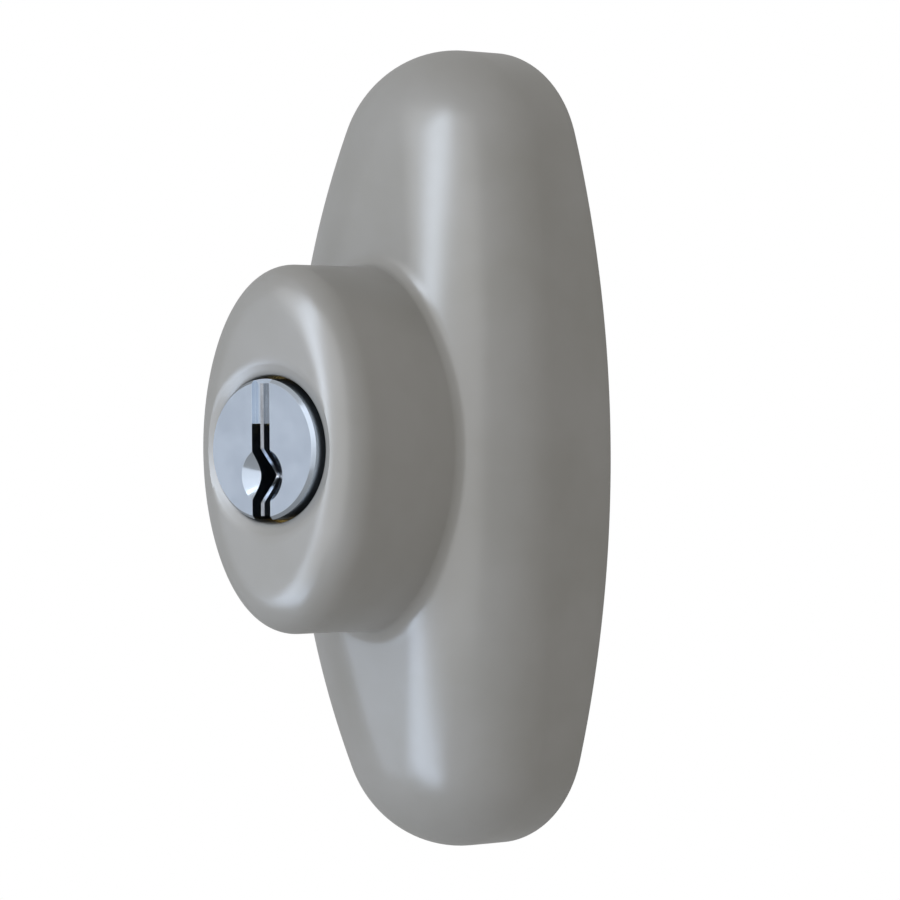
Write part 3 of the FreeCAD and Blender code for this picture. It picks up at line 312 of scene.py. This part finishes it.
def atDepth(plan, depth):
    return np.vstack([plan, np.broadcast_to(depth, plan.shape[1:])[None]])


def bossPlan(angles, inset):
    halfWidth, halfHeight = housing["bossHalfWidth"], housing["bossHalfHeight"]
    normal = np.stack([np.cos(angles) / halfWidth, np.sin(angles) / halfHeight])
    normal = normal / np.hypot(*normal)
    edge = np.stack([halfWidth * np.cos(angles), halfHeight * np.sin(angles)])
    return edge - inset * normal, normal


def bossFrontDepth(across, height):
    inner = bossPlan(fullTurn(fineness["bossSpine"]), housing["bossRound"])[0]
    spine = atDepth(inner, housing["bossDepth"] - housing["bossRound"])
    heading = np.mod(polar(inner), circle)
    order = np.argsort(heading)
    flatReach = np.interp(
        np.mod(np.arctan2(height, across), circle), heading[order], np.hypot(*inner)[order],
        period=circle)
    rounded = ballDepth(across, height, spine, housing["bossRound"])
    return np.where(np.hypot(across, height) <= flatReach, housing["bossDepth"], rounded)


def dishDepthAt(radius):
    slope = housing["dishDepth"] / (housing["dishRadius"] - housing["holeRadius"])
    return housing["bossDepth"] - housing["dishDepth"] + (radius - housing["holeRadius"]) * slope


# From the hole's floor over the dish and the front to the foot of the boss's rounding
def bossRings(columns):
    ball = housing["bossRound"]
    shoulderTurn = math.pi / 2 * housing["shoulder"]
    shoulder = bossPlan(columns, ball * (1 - math.sin(shoulderTurn)))[0]
    around = polar(shoulder)
    hole = housing["holeRadius"]
    # Where the dish runs out on the boss's front, looked for a little past its own edge
    past = 0.2
    low, high = np.full(len(around), hole), np.full(len(around), housing["dishRadius"] + past)
    for _ in range(fineness["halvings"]):
        middle = (low + high) / 2
        above = dishDepthAt(middle) > bossFrontDepth(*radial(around, middle))
        low, high = np.where(above, low, middle), np.where(above, middle, high)
    dishEdge = np.minimum((low + high) / 2, housing["dishRadius"])
    mouth = dishDepthAt(hole)
    rimWidth = housing["holeRimWidth"]
    rings = [atDepth(radial(around, hole), housing["holeFloor"])]
    for beyond, below in housing["holeRim"]:
        rings.append(atDepth(radial(around, hole + beyond), mouth - below))
    rings.append(atDepth(radial(around, hole + rimWidth), dishDepthAt(hole + rimWidth)))
    for share in fineness["dishRows"]:
        radius = hole + rimWidth + (dishEdge - hole - rimWidth) * share
        rings.append(atDepth(radial(around, radius), dishDepthAt(radius)))
    start = radial(around, dishEdge)
    for share in steps(fineness["frontRows"]):
        plan = start + (shoulder - start) * share
        rings.append(atDepth(plan, bossFrontDepth(*plan)))
    for turn in np.linspace(shoulderTurn, 0, fineness["roundRows"] + 1)[1:]:
        # turn is the height of the rounding's normal above the wall's
        plan = bossPlan(columns, ball * (1 - math.cos(turn)))[0]
        rings.append(atDepth(plan, housing["bossDepth"] - ball * (1 - math.sin(turn))))
    return rings


# Down the boss's wall, then a ball that touches the wall and the dome
def filletRings(columns, dome):
    wall, normal = bossPlan(columns, 0.0)
    fillet = housing["bossFillet"]
    centre = wall + fillet * normal
    level = dome.depthAt(*centre, extra=fillet)
    step = 0.02
    slopeAcross = (dome.depthAt(centre[0] + step, centre[1], fillet)
                   - dome.depthAt(centre[0] - step, centre[1], fillet)) / (2 * step)
    slopeUp = (dome.depthAt(centre[0], centre[1] + step, fillet)
               - dome.depthAt(centre[0], centre[1] - step, fillet)) / (2 * step)
    outward = np.stack([-slopeAcross, -slopeUp, np.ones_like(level)])
    outward = outward / np.sqrt((outward ** 2).sum(0))
    wallTop = housing["bossDepth"] - housing["bossRound"]
    rings = [
        atDepth(wall, wallTop + (level - wallTop) * share) for share in steps(fineness["wallRows"])]
    toWall = np.vstack([-normal, np.zeros((1, len(level)))])
    for share in steps(fineness["filletRows"]):
        rings.append(atDepth(centre, level) + fillet * slerp(toWall, -outward, share))
    return rings


# From the fillet's foot over the dome, down the flank and back to the door
def domeRings(start, dome):
    arcShare = housing["domeShoulder"]
    # Each column goes to the point of the dome's rounding that lies in its own direction
    table = fullTurn(fineness["headings"])
    heading = np.mod(polar(dome.rounding(table, np.full(len(table), arcShare))), circle)
    order = np.argsort(heading)
    outer = np.interp(np.mod(polar(start), circle), heading[order], np.unwrap(table[order]))
    end = dome.rounding(outer, np.full(len(outer), arcShare))[:2]
    rings = []
    for share in steps(fineness["domeRows"])[:-1]:
        plan = start + (end - start) * share
        rings.append(atDepth(plan, dome.depthAt(*plan)))
    for share in np.linspace(arcShare, 1, fineness["domeRoundRows"] + 1):
        rings.append(dome.rounding(outer, np.full(len(outer), share)))
    foot = rings[-1]
    edge = housing["backEdge"]
    for share in steps(fineness["flankRows"]):
        rings.append(atDepth(foot[:2], foot[2] + (edge - foot[2]) * share))
    for degrees in fineness["backEdgeTurns"]:
        turn = math.radians(degrees)
        plan = ovalPoints(outer, edge * (1 - math.cos(turn)))
        rings.append(atDepth(plan, edge * (1 - math.sin(turn))))
    return rings


def housingRings():
    dome = Dome(0.0)
    columns = fullTurn(fineness["columns"])
    rings = bossRings(columns) + filletRings(columns, dome)
    return rings + domeRings(rings[-1][:2], dome)


# Rings of points joined by faces, with a fan over the first ring and, if wanted, over the last
def ringMesh(name, rings, closeEnd=True):
    count = rings[0].shape[1]
    points = np.concatenate([np.stack([ring[0], -ring[2], ring[1]], 1) for ring in rings]) * mm
    faces = []
    for ring in range(len(rings) - 1):
        for column in range(count):
            following = (column + 1) % count
            faces.append((
                ring * count + column, ring * count + following,
                (ring + 1) * count + following, (ring + 1) * count + column))
    points = points.tolist()
    for ring in (0, len(rings) - 1) if closeEnd else (0,):
        first = ring * count
        points.append(np.mean(points[first:first + count], axis=0).tolist())
        middle = len(points) - 1
        for column in range(count):
            pair = (first + column, first + (column + 1) % count)
            faces.append((pair[1], pair[0], middle) if ring == 0 else (pair[0], pair[1], middle))
    mesh = bpy.data.meshes.new(name)
    mesh.from_pydata(points, [], faces)
    piece = bpy.data.objects.new(name, mesh)
    bpy.context.scene.collection.objects.link(piece)
    return piece


def lathe(name, profile, across, height, depth, upright=False, segments=64):
    around = fullTurn(segments)
    rings = []
    for radius, along in profile:
        ring = radial(around, radius)
        if upright:
            points = [across + ring[0], np.full(segments, height + along), depth + ring[1]]
        else:
            points = [across + ring[0], height + ring[1], np.full(segments, depth + along)]
        rings.append(np.stack(points))
    return ringMesh(name, rings)


def slab(name, across, height, depth):
    corners = [(x, z, t) for t in depth for x, z in (
        (across[0], height[0]), (across[1], height[0]),
        (across[1], height[1]), (across[0], height[1]))]
    return ringMesh(name, [np.array(corners[:4]).T, np.array(corners[4:]).T])


def faceOutwards(piece):
    work = bmesh.new()
    work.from_mesh(piece.data)
    bmesh.ops.recalc_face_normals(work, faces=work.faces)
    work.to_mesh(piece.data)
    work.free()


def combine(target, tool, operation):
    faceOutwards(target)
    faceOutwards(tool)
    modifier = target.modifiers.new("combine", "BOOLEAN")
    modifier.operation = operation
    modifier.solver = "EXACT"
    modifier.object = tool
    graph = bpy.context.evaluated_depsgraph_get()
    made = bpy.data.meshes.new_from_object(target.evaluated_get(graph))
    target.modifiers.clear()
    target.data = made
    bpy.data.objects.remove(tool)


def smoothByAngle(piece, degrees):
    mesh = piece.data
    mesh.polygons.foreach_set("use_smooth", [True] * len(mesh.polygons))
    normals = [polygon.normal.copy() for polygon in mesh.polygons]
    beside = {}
    for polygon in mesh.polygons:
        for key in polygon.edge_keys:
            beside.setdefault(key, []).append(polygon.index)
    limit = math.cos(math.radians(degrees))
    for edge in mesh.edges:
        faces = beside.get(edge.key, [])
        edge.use_edge_sharp = len(faces) == 2 and normals[faces[0]].dot(normals[faces[1]]) < limit


# What is hollow in the casting, as in its solid; past is how far a tool runs beyond what it cuts
cavity = {
    "deepHalf": 24.5, "endDepth": 8.0, "sleeveRadius": 9.9, "sleeveHalf": 4.9, "sleeveTop": 15.4,
    "sleeveBack": 7.9, "postRadius": 2.6, "postPlace": 17.4, "postHole": 1.23, "postHoleEnd": 13.4,
    "boreRadius": 8.1, "boreFront": 28.0, "slotHalf": 3.1, "slotTop": 13.6,
    "exitAcross": (-6.7, -1.3), "exitDepth": (2.1, 6.3), "exitHeight": (-38.0, -26.8),
    "pocketAcross": (5.8, 7.6), "pocketDepth": (0.7, 2.1), "pocketHeight": (-32.3, -25.8),
    "screwRadius": 1.48, "screwAcross": -3.4, "screwDepth": 4.4, "past": 1.0,
    "columns": 96, "frontRows": (0.2, 0.4, 0.6, 0.8, 0.97), "roundRows": 9, "boreColumns": 96}


def cavityPiece():
    past = cavity["past"]
    dome = Dome(housing["wall"])
    angles = fullTurn(cavity["columns"])
    rim = dome.rounding(angles, np.zeros(len(angles)))[:2]
    rings = [atDepth(rim * share, dome.depthAt(*(rim * share))) for share in cavity["frontRows"]]
    for share in np.linspace(0, 1, cavity["roundRows"]):
        rings.append(dome.rounding(angles, np.full(len(angles), share)))
    rings.append(atDepth(rings[-1][:2], -past))
    hollow = ringMesh("hollow", rings)
    across, far, front = housing["halfWidth"] + past, housing["halfHeight"] + past, housing["depth"]
    for side in (1, -1):
        ends = sorted((side * cavity["deepHalf"], side * far))
        combine(hollow, slab("solidEnd", (-across, across), ends, (-2 * past, front)), "DIFFERENCE")
    plan = ovalPoints(angles, housing["wall"])
    shallow = [atDepth(plan, cavity["endDepth"]), atDepth(plan, -past)]
    combine(hollow, ringMesh("shallow", shallow), "UNION")
    back = cavity["sleeveBack"]
    length = front - back
    radius = cavity["sleeveRadius"]
    combine(hollow, lathe("sleeve", [(radius, 0), (radius, length)], 0, 0, back), "DIFFERENCE")
    half, top = cavity["sleeveHalf"], cavity["sleeveTop"]
    combine(hollow, slab("sleeveBox", (-half, half), (-top, top), (back, front)), "DIFFERENCE")
    for side in (1, -1):
        place = side * cavity["postPlace"]
        radius = cavity["postRadius"]
        tall = [(radius, 0), (radius, length)]
        combine(hollow, lathe("post", tall, 0, place, back), "DIFFERENCE")
        radius = cavity["postHole"]
        deep = [(radius, 0), (radius, cavity["postHoleEnd"] - back + past)]
        combine(hollow, lathe("postHole", deep, 0, place, back - past), "UNION")
        sides = sorted((side * cavity["pocketAcross"][0], side * cavity["pocketAcross"][1]))
        pocket = slab("pocket", sides, cavity["pocketHeight"], cavity["pocketDepth"])
        combine(hollow, pocket, "UNION")
    radius = cavity["boreRadius"]
    deep = [(radius, 0), (radius, cavity["boreFront"] - back + past)]
    bore = lathe("bore", deep, 0, 0, back - past, segments=cavity["boreColumns"])
    combine(hollow, bore, "UNION")
    half, top = cavity["slotHalf"], cavity["slotTop"]
    slotDepth = (back - past, cavity["boreFront"])
    combine(hollow, slab("slot", (-half, half), (-top, top), slotDepth), "UNION")
    leaving = slab("exit", cavity["exitAcross"], cavity["exitHeight"], cavity["exitDepth"])
    combine(hollow, leaving, "UNION")
    radius = cavity["screwRadius"]
    combine(hollow, lathe(
        "screwHole", [(radius, endCentre), (radius, far)], cavity["screwAcross"], 0,
        cavity["screwDepth"], upright=True), "UNION")
    return hollow


shell = ringMesh("housingShell", housingRings())
combine(shell, cavityPiece(), "DIFFERENCE")
smoothByAngle(shell, housing["sharpFrom"])
shell.data.materials.clear()
shell.data.materials.append(satinEnamel)
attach(shell, "lock_body")
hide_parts("housing")
print("housing: done,", len(shell.data.polygons), "faces")

# The floor lies below the photograph's view and fades into the backdrop. Reach is in millimetres,
# level and fade in metres
studio = {
    "floorLevel": -0.4, "floorReach": (400.0, 1400.0), "floorFade": (0.5, 1.35),
    "floorColour": "#fbfbfb", "floorColumns": 96, "background": "#ffffff",
    "skyDimmest": 0.31, "skyBrightest": 0.65, "skyBrightWay": (0.12, -0.55, 0.83)}

floorMaterial = bpy.data.materials.new("PaleFloor")
floorMaterial.use_nodes = True
floorMaterial.node_tree.nodes.clear()
position = addNode(floorMaterial, "ShaderNodeNewGeometry").outputs["Position"]
distance = addNode(floorMaterial, "ShaderNodeVectorMath", {"operation": "LENGTH"}, {0: position})
fade = addNode(
    floorMaterial, "ShaderNodeMapRange",
    {"interpolation_type": "SMOOTHSTEP",
     "From Min": studio["floorFade"][0], "From Max": studio["floorFade"][1]},
    {"Value": distance.outputs["Value"]}).outputs["Result"]
paper = addNode(
    floorMaterial, "ShaderNodeBsdfDiffuse",
    {"Color": linearColour(studio["floorColour"])}).outputs["BSDF"]
clear = addNode(floorMaterial, "ShaderNodeBsdfTransparent").outputs["BSDF"]
blend = addNode(floorMaterial, "ShaderNodeMixShader", {}, {0: fade, 1: paper, 2: clear})
addNode(floorMaterial, "ShaderNodeOutputMaterial", {}, {"Surface": blend.outputs["Shader"]})
around = fullTurn(studio["floorColumns"])
level = np.full(len(around), studio["floorLevel"] / mm)
floorRings = []
for reach in studio["floorReach"]:
    plan = radial(around, reach)
    floorRings.append(np.stack([plan[0], level, plan[1]]))
floor = ringMesh("studioFloor", floorRings, closeEnd=False)
floor.data.materials.append(floorMaterial)
floor.visible_shadow = floor.visible_glossy = False

# The camera sees plain white; the light is a dim sky, brightest in front and above
world = bpy.data.worlds.new("studioWorld")
bpy.context.scene.world = world
world.use_nodes = True
world.node_tree.nodes.clear()
seen = addNode(world, "ShaderNodeLightPath").outputs["Is Camera Ray"]
direction = addNode(world, "ShaderNodeTexCoord").outputs["Generated"]
towards = addNode(
    world, "ShaderNodeVectorMath", {"operation": "DOT_PRODUCT", 1: studio["skyBrightWay"]},
    {0: direction})
skyLight = addNode(
    world, "ShaderNodeMapRange",
    {"From Min": -1.0, "To Min": studio["skyDimmest"], "To Max": studio["skyBrightest"]},
    {"Value": towards.outputs["Value"]})
white = linearColour(studio["background"])
sky = addNode(
    world, "ShaderNodeBackground", {"Color": white},
    {"Strength": skyLight.outputs["Result"]}).outputs["Background"]
backdrop = addNode(
    world, "ShaderNodeBackground", {"Color": white, "Strength": 1.0}).outputs["Background"]
mixed = addNode(world, "ShaderNodeMixShader", {}, {0: seen, 1: sky, 2: backdrop})
addNode(world, "ShaderNodeOutputWorld", {}, {"Surface": mixed.outputs["Shader"]})

# place is azimuth and elevation in degrees and distance in metres; lean turns a lamp on its beam
lamps = {
    "upperStrip": {
        "place": (-4.0, 24.0, 1.2), "size": (0.32, 1.4), "power": 7.0, "colour": "#d6e6ff",
        "lean": -32.0},
    "lowerStrip": {
        "place": (-22.0, -29.0, 1.2), "size": (0.32, 1.05), "power": 5.2, "colour": "#cde0ff",
        "lean": 42.0},
    "leftCard": {
        "place": (-43.0, 0.0, 1.4), "size": (0.5, 0.7), "power": 0.35, "colour": "#dfeaff",
        "lean": 0.0},
    "panel": {
        "place": (8.0, 14.0, 1.4), "size": (2.4, 2.4), "power": 15.5, "colour": "#f0f5ff",
        "lean": 0.0}}


def aimAtLock(thing, lean):
    facing = (-thing.location).to_track_quat("-Z", "Y").to_matrix()
    thing.rotation_euler = (facing @ Matrix.Rotation(math.radians(lean), 3, "Z")).to_euler()


for name, lamp in lamps.items():
    lampData = bpy.data.lights.new(name, "AREA")
    lampData.shape = "RECTANGLE"
    lampData.size, lampData.size_y = lamp["size"]
    lampData.energy = lamp["power"]
    lampData.color = linearColour(lamp["colour"])[:3]
    light = bpy.data.objects.new(name, lampData)
    azimuth, elevation = (math.radians(angle) for angle in lamp["place"][:2])
    light.location = lamp["place"][2] * Vector((
        math.cos(elevation) * math.sin(azimuth), -math.cos(elevation) * math.cos(azimuth),
        math.sin(elevation)))
    aimAtLock(light, lamp["lean"])
    bpy.context.scene.collection.objects.link(light)

# Fitted to the photograph: the plug's circle, the straight back edge and the outline
photoCamera = {
    "azimuth": 40.8, "distance": 0.5, "roll": -0.46, "lens": 216.1, "sensor": 36.0,
    "shift": (-0.0479, -0.0025), "sees": (0.05, 20.0)}
cameraData = bpy.data.cameras.new("photoCamera")
cameraData.lens = photoCamera["lens"]
cameraData.sensor_width = photoCamera["sensor"]
cameraData.shift_x, cameraData.shift_y = photoCamera["shift"]
cameraData.clip_start, cameraData.clip_end = photoCamera["sees"]
camera = bpy.data.objects.new("photoCamera", cameraData)
bpy.context.scene.collection.objects.link(camera)
turn = math.radians(photoCamera["azimuth"])
camera.location = (
    photoCamera["distance"] * math.sin(turn), -photoCamera["distance"] * math.cos(turn), 0)
aimAtLock(camera, photoCamera["roll"])
bpy.context.scene.camera = camera
bpy.context.scene.view_settings.view_transform = "Standard"
print("studio: done")
